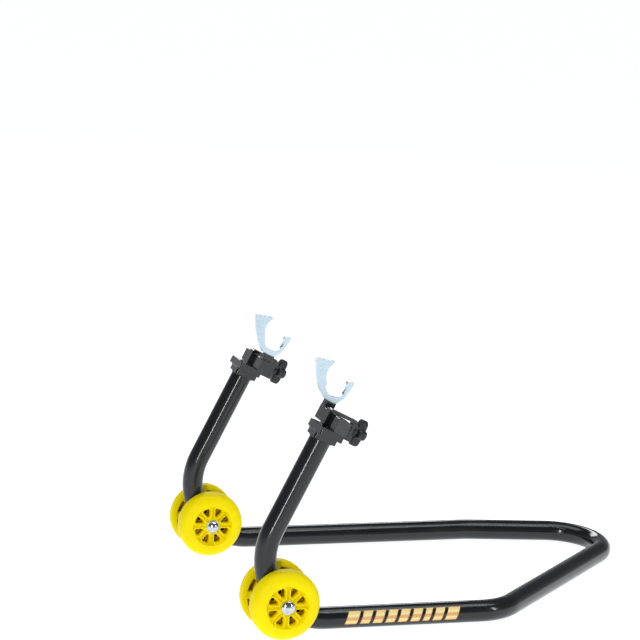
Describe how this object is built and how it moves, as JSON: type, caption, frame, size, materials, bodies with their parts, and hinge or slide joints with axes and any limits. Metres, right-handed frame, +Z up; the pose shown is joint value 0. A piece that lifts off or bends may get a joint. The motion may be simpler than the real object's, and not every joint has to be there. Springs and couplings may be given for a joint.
{
  "type": "motorcycle rear paddock stand",
  "caption": "Black tubular rear paddock stand with leaning arms, sliding hook supports, hand knobs, twin yellow wheels at each arm and an offset floor hoop.",
  "frame": {"origin": "bottom centre of the whole stand's box, on the floor", "axes": "+X rearward from the wheels to the floor hoop's end, +Y towards the motorcycle's right side, +Z up"},
  "size_m": [0.6978, 0.485, 0.386],
  "materials": {
    "frame_paint": "gloss black powder coat",
    "hook_steel": "bright plated plate",
    "wheel_yellow": "moulded yellow nylon",
    "chrome_hardware": "polished chrome",
    "zinc_washer": "zinc plated",
    "bush_steel": "turned steel",
    "plug_plastic": "satin black plastic",
    "knob_plastic": "satin black plastic"
  },
  "bodies": {
    "frame": {"hoop_tube": "frame_paint", "upright_left": "frame_paint", "axle_sleeve_left": "frame_paint", "head_plate_left": "frame_paint", "saddle_base_left": "frame_paint", "clamp_strap_left": "frame_paint", "axle_bolt_left": "chrome_hardware", "axle_nut_left": "chrome_hardware", "axle_washers_left": "zinc_washer", "upright_right": "frame_paint", "axle_sleeve_right": "frame_paint", "head_plate_right": "frame_paint", "saddle_base_right": "frame_paint", "clamp_strap_right": "frame_paint", "axle_bolt_right": "chrome_hardware", "axle_nut_right": "chrome_hardware", "axle_washers_right": "zinc_washer"},
    "wheel_left_outer": {"wheel_left_outer": "wheel_yellow", "wheel_bush_left_outer": "bush_steel"},
    "wheel_left_inner": {"wheel_left_inner": "wheel_yellow", "wheel_bush_left_inner": "bush_steel"},
    "carriage_left": {"carriage_bar_left": "frame_paint", "bar_plug_left": "plug_plastic", "hook_post_left": "frame_paint", "hook_plate_left": "hook_steel"},
    "knob_left": {"clamp_knob_left": "knob_plastic", "knob_stud_left": "zinc_washer"},
    "wheel_right_outer": {"wheel_right_outer": "wheel_yellow", "wheel_bush_right_outer": "bush_steel"},
    "wheel_right_inner": {"wheel_right_inner": "wheel_yellow", "wheel_bush_right_inner": "bush_steel"},
    "carriage_right": {"carriage_bar_right": "frame_paint", "bar_plug_right": "plug_plastic", "hook_post_right": "frame_paint", "hook_plate_right": "hook_steel"},
    "knob_right": {"clamp_knob_right": "knob_plastic", "knob_stud_right": "zinc_washer"}
  },
  "joints": [
    {"name": "wheel_spin_left_outer", "type": "hinge", "parent": "frame", "child": "wheel_left_outer", "pos_m": [-0.29888, -0.2233, 0.05], "axis": [0, 1, 0], "continuous": true},
    {"name": "wheel_spin_left_inner", "type": "hinge", "parent": "frame", "child": "wheel_left_inner", "pos_m": [-0.29888, -0.1647, 0.05], "axis": [0, 1, 0], "continuous": true},
    {"name": "hook_slide_left", "type": "slide", "parent": "frame", "child": "carriage_left", "axis": [0, 1, 0], "range_m": [-0.024, 0.026]},
    {"name": "knob_turn_left", "type": "hinge", "parent": "frame", "child": "knob_left", "pos_m": [-0.19917, -0.188, 0.28767], "axis": [0.9041, 0, -0.4274], "range_deg": [0, 360]},
    {"name": "wheel_spin_right_outer", "type": "hinge", "parent": "frame", "child": "wheel_right_outer", "pos_m": [-0.29888, 0.2233, 0.05], "axis": [0, 1, 0], "continuous": true},
    {"name": "wheel_spin_right_inner", "type": "hinge", "parent": "frame", "child": "wheel_right_inner", "pos_m": [-0.29888, 0.1647, 0.05], "axis": [0, 1, 0], "continuous": true},
    {"name": "hook_slide_right", "type": "slide", "parent": "frame", "child": "carriage_right", "axis": [0, -1, 0], "range_m": [-0.024, 0.026]},
    {"name": "knob_turn_right", "type": "hinge", "parent": "frame", "child": "knob_right", "pos_m": [-0.19917, 0.188, 0.28767], "axis": [0.9041, 0, -0.4274], "range_deg": [0, 360]}
  ]
}
